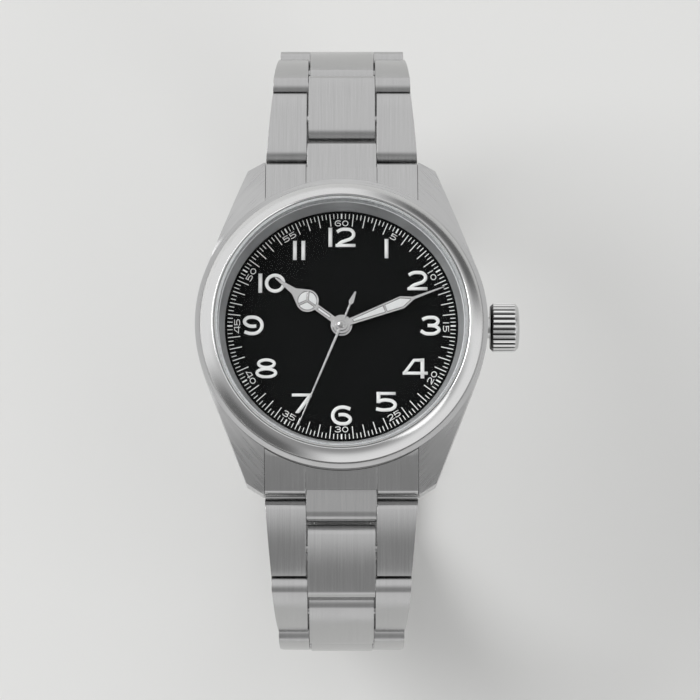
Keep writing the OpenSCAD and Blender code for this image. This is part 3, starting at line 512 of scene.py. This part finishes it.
# The hour numerals as (figure, x, y), with the two figures of 10, 11 and 12 placed one by one.
hour_places = ((1, 5.87, 10.24), (2, 9.84, 6.0), (3, 11.54, 0.03), (4, 9.57, -5.61), (5, 5.84, -9.96),
               (6, 0, -11.77), (7, -5.15, -10.16), (8, -9.77, -5.58), (9, -11.5, 0.07), (1, -10.6, 5.65),
               (0, -8.67, 5.65), (1, -6.1, 10.0), (1, -5.0, 10.0), (1, -1.467, 11.74), (2, 0.457, 11.74))
hour_weight, minute_weight = 0.91, 0.68
models = {figure: numeral(figure, hour_weight) for figure in numeral_lines}
small_models = {figure: numeral(figure, minute_weight) for figure in range(7)}
paint_level = dial_face + paint_rise
printed = [put(copy_of(models[figure]), x, y, paint_level) for figure, x, y in hour_places]

figure_r, figure_size = 13.6, 0.31
narrow_gap, wide_gap = 0.8, 0.97
for minute in range(5, 65, 5):
    angle = math.radians(6 * minute)
    upright = not 20 <= minute <= 40
    turn = -angle if upright else math.pi - angle
    figures = [int(c) for c in str(minute)]
    gap = narrow_gap if 1 in figures else wide_gap
    for i, figure in enumerate(figures):
        shift = (i - (len(figures) - 1) / 2) * gap
        x = figure_r * math.sin(angle) + shift * math.cos(turn)
        y = figure_r * math.cos(angle) + shift * math.sin(turn)
        printed.append(put(copy_of(small_models[figure]), x, y, paint_level, turn, figure_size))

track_r, short_r, long_r = 14.87, 14.2, 13.25
thirds = ticks((2, 4), steps=60, width=0.1, inner=short_r, outer=track_r)
minutes = ticks((6, 12, 18, 24), steps=12, width=0.11, inner=long_r, outer=track_r)
fives = ticks((0,), steps=12, width=0.2, inner=short_r, outer=track_r)
for track in (thirds, minutes, fives):
    printed.append(put(track, 0, 0, paint_level))
pick(*models.values(), *small_models.values())
bpy.ops.object.delete()
dial_print = join(printed, "dial_print")
bpy.ops.object.mode_set(mode="EDIT")
bpy.ops.mesh.select_all(action="SELECT")
bpy.ops.mesh.normals_make_consistent(inside=False)
bpy.ops.object.mode_set(mode="OBJECT")
dial_print.data.materials.append(white_paint("dial_paint", (0.88, 0.89, 0.88), 0.5))
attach(dial_print, "case")
coat(dial_black(), "dial")

# Inner ring. A finely turned steel slope, pressed in round the dial, in which the minute track shows
# faintly.


def satin_ring():
    """Satin steel, turned in fine lines round the dial."""
    colour, rough = (0.80, 0.81, 0.82), 0.6
    material, tree, surface = new_finish("steel_satin_ring", colour, 1, rough)
    grain(tree, surface, colour, rough, turned_lines(tree, across=4200, along=60), depth=0.2, tint=0.02)
    return material


ring_r, ring_low, ring_top = turned_size("rehaut_ring")
ring_bore, ring_lip = 15.2, 0.15
rehaut = turned("rehaut_satin", [(ring_bore, ring_low), (ring_r, ring_low), (ring_r, ring_top),
                                 (ring_r - ring_lip, ring_top), (ring_bore, ring_low + ring_lip)],
                satin_ring(), "case")
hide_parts("rehaut_ring")

# Hands. Stamped, bevelled and polished, with windows filled by hand with white luminous paint
# that domes a little. The seconds hand has a riveted tube with a small dimple in its end.


def hand_metal():
    """Polished plate with a faint cloudiness."""
    colour, rough = (0.50, 0.50, 0.50), 0.18
    material, tree, surface = new_finish("hand_polish", colour, 1, rough)
    where = piece_lines(tree, 2600, 2600, 2600)
    grain(tree, surface, colour, rough, where, depth=0.1, tint=0.02, spread=0.03)
    return material


def pad(points):
    """A pillow of paint that fills a window's outline in mm."""
    rise, edge, gap = 0.17, 0.05, 0.04
    deselect()
    bpy.ops.curve.primitive_bezier_curve_add()
    outline = bpy.context.object
    outline.data.dimensions = "2D"
    outline.data.fill_mode = "BOTH"
    spline = outline.data.splines[0]
    spline.bezier_points.add(len(points) - 2)
    spline.use_cyclic_u = True
    spline.resolution_u = 1
    for knot, (x, y) in zip(spline.bezier_points, points):
        knot.co = (x, y, 0)
        knot.handle_left_type = knot.handle_right_type = "VECTOR"
    outline.data.extrude = rise / 2 - edge
    outline.data.bevel_depth = edge
    outline.data.bevel_resolution = 3
    outline.data.offset = -edge - gap
    bpy.ops.object.convert(target="MESH")
    return outline


def both_sides(*right):
    """A window's outline from the points on its right side, from its foot up."""
    left = [(-x, y) for x, y in reversed(right)]
    return left[-1:] + list(right) + left[:-1]


def fill_of(name, windows, hand, turn, body):
    """The paint in one hand's windows, half sunk in the blade."""
    blade_t = 0.2
    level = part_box(hand)[1].z / mm - blade_t / 2
    fill = put(join([pad(window) for window in windows], name), 0, 0, level, math.radians(-turn))
    bpy.ops.object.mode_set(mode="EDIT")
    bpy.ops.mesh.select_all(action="SELECT")
    bpy.ops.mesh.remove_doubles(threshold=1e-7)
    bpy.ops.mesh.normals_make_consistent(inside=False)
    bpy.ops.object.mode_set(mode="OBJECT")
    bpy.ops.object.shade_smooth_by_angle(angle=math.radians(50))
    fill.data.materials.append(lume)
    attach(fill, body)
    return fill


silver = hand_metal()
lume = white_paint("luminous_paint", (0.70, 0.71, 0.71), 0.65)
for hand, body in (("hour_hand", "hours"), ("minute_hand", "minutes"), ("seconds_hand", "seconds")):
    finish_solid(hand, silver, body, edge=0.035)

# Windows are drawn on a hand that points at 12, and turned by its degrees past 12. The hour hand's
# bulb has three of them between the bars of a star, and its stem has one.
hour_turn, minute_turn = 306, 69.4
bulb, window_r, half_bar = 5.5, 1.24, 0.12
arc_steps = 16
corner = half_bar / math.sin(math.radians(60))
bar_angle = math.degrees(math.asin(half_bar / window_r))
windows = []
for middle in (-30, 90, 210):
    facing = math.radians(middle)
    window = [(corner * math.cos(facing), bulb + corner * math.sin(facing))]
    for i in range(arc_steps + 1):
        angle = math.radians(middle - 60 + bar_angle + (120 - 2 * bar_angle) * i / arc_steps)
        window.append((window_r * math.cos(angle), bulb + window_r * math.sin(angle)))
    windows.append(window)
windows.append(both_sides((0.19, 1.81), (0.19, 3.79)))
fill_of("hour_lume", windows, "hour_hand", hour_turn, "hours")

blade_window = both_sides((0.19, 1.61), (0.46, 5.94))
tip_window = both_sides((0.47, 6.16), (0.61, 8.35), (0.09, 9.59))
fill_of("minute_lume", [blade_window, tip_window], "minute_hand", minute_turn, "minutes")

seconds_top = turned_size("seconds_hand")[2]
rivet_r, dome_r, dimple_r, bore_r = 0.46, 0.38, 0.16, 0.09
rivet_low, rivet_wall, rivet_top = seconds_top - 0.01, seconds_top + 0.05, seconds_top + 0.13
turned("seconds_rivet", [(bore_r, rivet_low), (rivet_r, rivet_low), (rivet_r, rivet_wall),
                         (dome_r, rivet_top - 0.02), (dimple_r, rivet_top), (bore_r, rivet_top - 0.05)],
       silver, "seconds", edge=0, sides=64)

# Glass and its seal. A flat disc of sapphire with a ground bevel, held in the bezel's bore by a
# white nylon ring that is pressed in round it.


def sapphire():
    """Clear sapphire with a coating, of which only the shine shows."""
    material, tree, surface = new_finish("sapphire_clear", (1, 1, 1), 1, 0.02)
    shine = node(tree, "Fresnel", IOR=1.08)
    tree.links.new(shine.outputs[0], surface.inputs["Alpha"])
    return material


def ground_sapphire():
    """The frosted edge of the glass."""
    colour, rough = (0.62, 0.64, 0.65), 0.3
    material, tree, surface = new_finish("sapphire_ground", colour, 0, rough)
    grain(tree, surface, colour, rough, turned_lines(tree, across=2500, along=2500), depth=0.5, tint=0.25)
    surface.inputs["Alpha"].default_value = 0.55
    return material


def nylon():
    """White nylon that lets a little light in."""
    colour, rough = (0.62, 0.62, 0.61), 0.45
    material, tree, surface = new_finish("white_nylon", colour, 0, rough)
    grain(tree, surface, colour, rough, turned_lines(tree, across=2500, along=300), depth=0.3)
    surface.inputs["Subsurface Weight"].default_value = 0.1
    return material


glass_r, glass_low, glass_top = turned_size("crystal")
glass_t, glass_bevel = glass_top - glass_low, 0.25
seal_r, seal_low, seal_top = turned_size("crystal_gasket")
seal_gap = 0.02
seal_bore = glass_r + seal_gap
seal = turned("crystal_seal", [(seal_bore, seal_low), (seal_r, seal_low), (seal_r, seal_top),
                               (seal_bore, seal_top)], nylon(), "case")
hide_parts("crystal_gasket")

deselect()
bpy.ops.mesh.primitive_cylinder_add(vertices=256, radius=glass_r * mm, depth=glass_t * mm,
                                    location=(0, 0, (glass_low + glass_t / 2) * mm))
glass = bpy.context.object
glass.name = "crystal_glass"
bpy.ops.object.transform_apply(location=True, rotation=True, scale=True)
glass.data.materials.append(sapphire())
glass.data.materials.append(ground_sapphire())
break_edges(glass, glass_bevel, segments=1)
clear, frosted, nearly_flat = 0, 1, 0.95
for face in glass.data.polygons:
    face.material_index = clear if abs(face.normal.z) > nearly_flat else frosted
bpy.ops.object.shade_smooth_by_angle(angle=math.radians(20))
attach(glass, "case")
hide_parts("crystal")

# Bezel. Turned from steel, its broad slope lapped to a soft shine and its inner edge polished.
# It is pressed over the case's neck.


def lapped_steel():
    """Steel lapped to a soft shine round the dial."""
    colour, rough = (0.70, 0.70, 0.70), 0.14
    material, tree, surface = new_finish("steel_lapped", colour, 1, rough)
    lines = turned_lines(tree, across=5200, along=60)
    grain(tree, surface, colour, rough, lines, depth=0.15, tint=0.02, spread=0.03)
    return material


bezel_r, bezel_low, bezel_top = turned_size("bezel")
neck_r, seat_r, lip_r, foot_r = 16.97, 16.47, 16.7, 18.15
foot_top, wall_low, wall_top, seat, lip_top = 8.9, 8.94, 9.4, 9.92, 10.65
slope_middle = ((bezel_r + lip_r) / 2, (wall_top + bezel_top) / 2)
bezel = turned("bezel_lapped", [(neck_r, bezel_low), (foot_r, bezel_low), (foot_r, foot_top),
                                (bezel_r, wall_low), (bezel_r, wall_top), slope_middle,
                                (lip_r, bezel_top), (seat_r, lip_top), (seat_r, seat), (neck_r, seat)],
               lapped_steel(), "case", edge=0.05)
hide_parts("bezel")

# Crown. Turned and fluted steel, screwed to the stem, over a tube that is pressed into the case.
# The flutes are painted darker as shade, and the end is painted a lighter shade; the ridges keep the
# steel's own colour.
crown_low, crown_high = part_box("crown")
crown_z = (crown_low.z + crown_high.z) / 2
flute_r, ridge_r = 3.06 * mm, 3.16 * mm
flute_end, end_shade_start = 22.45 * mm, 22.62 * mm
# Painted shade: the colour falls to these shares of itself down in the flutes and on the end.
flute_shade, chamfer_shade = 0.04, 0.66


def fluted_steel():
    """Polished steel, with painted shade down in the flutes, a lighter painted shade on the end, and none
    on the ridges.
    """
    colour, rough = (0.86, 0.86, 0.86), 0.16
    material, tree, surface = new_finish("steel_fluted", colour, 1, rough)
    place = node(tree, "TexCoord").outputs["Object"]
    from_axis = node(tree, "Mapping", Vector=place, Location=(0, 0, -crown_z), Scale=(0, 1, 1)).outputs[0]
    reach = node(tree, "VectorMath", _0=from_axis)
    reach.operation = "LENGTH"
    # Painted shade in the flutes, darkest nearest the crown's axis, and a lighter painted shade on the
    # end.
    ridge = node(tree, "MapRange", Value=reach.outputs["Value"], From_Min=flute_r, From_Max=ridge_r,
                 To_Min=flute_shade, To_Max=1.0).outputs[0]
    along = node(tree, "SeparateXYZ", _0=place).outputs["X"]
    end = node(tree, "MapRange", Value=along, From_Min=flute_end, From_Max=end_shade_start, To_Min=0.0,
               To_Max=chamfer_shade).outputs[0]
    lit_part = node(tree, "Math", _0=ridge, _1=end)
    lit_part.operation = "MAXIMUM"
    shaded_colour = node(tree, "VectorMath", _0=colour, _1=lit_part.outputs[0])
    shaded_colour.operation = "MULTIPLY"
    where = piece_lines(tree, 400, 5000, 5000)
    grain(tree, surface, shaded_colour.outputs[0], rough, where, depth=0.2, tint=0.03, spread=0.03)
    return material


finish_solid("crown", fluted_steel(), "crown", edge=0.04)

# Bracelet. Links of one middle and two side pieces, milled from bar and ground along the bracelet,
# on pins pressed into the side pieces. A short first link joins each end to the case.
links_a_side = 7


def ground_along_bracelet():
    """Steel ground in lines that run along the bracelet."""
    colour, rough = (0.51, 0.51, 0.51), 0.22
    material, tree, surface = new_finish("steel_ground_along", colour, 1, rough)
    grain(tree, surface, colour, rough, piece_lines(tree, 6500, 110, 110), depth=0.5, tint=0.06)
    lie(tree, surface, "X", 0.45)
    return material


ground_along = ground_along_bracelet()
for end in ("12", "6"):
    finish_solid("end_link_" + end, ground_along, "case", edge=0.08)
    finish_solid("connector_" + end, ground_along, "connector_" + end, edge=0.16)
    for i in range(1, links_a_side + 1):
        link = "link_" + end + "_" + str(i)
        finish_solid(link, ground_along, link, edge=0.15)

# Folding clasp. A pressed steel cover over two leaves, ground along the bracelet, with a polished
# push piece through each wall.
finish_solid("clasp_cover", ground_along, "cover", edge=0.15)
finish_solid("clasp_leaf_inner", ground_along, "leaf_inner", edge=0.08)
finish_solid("clasp_leaf_outer", ground_along, "leaf_outer", edge=0.08)
for side in ("left", "right"):
    finish_solid("clasp_pusher_" + side, polished, "pusher_" + side, edge=0.12)
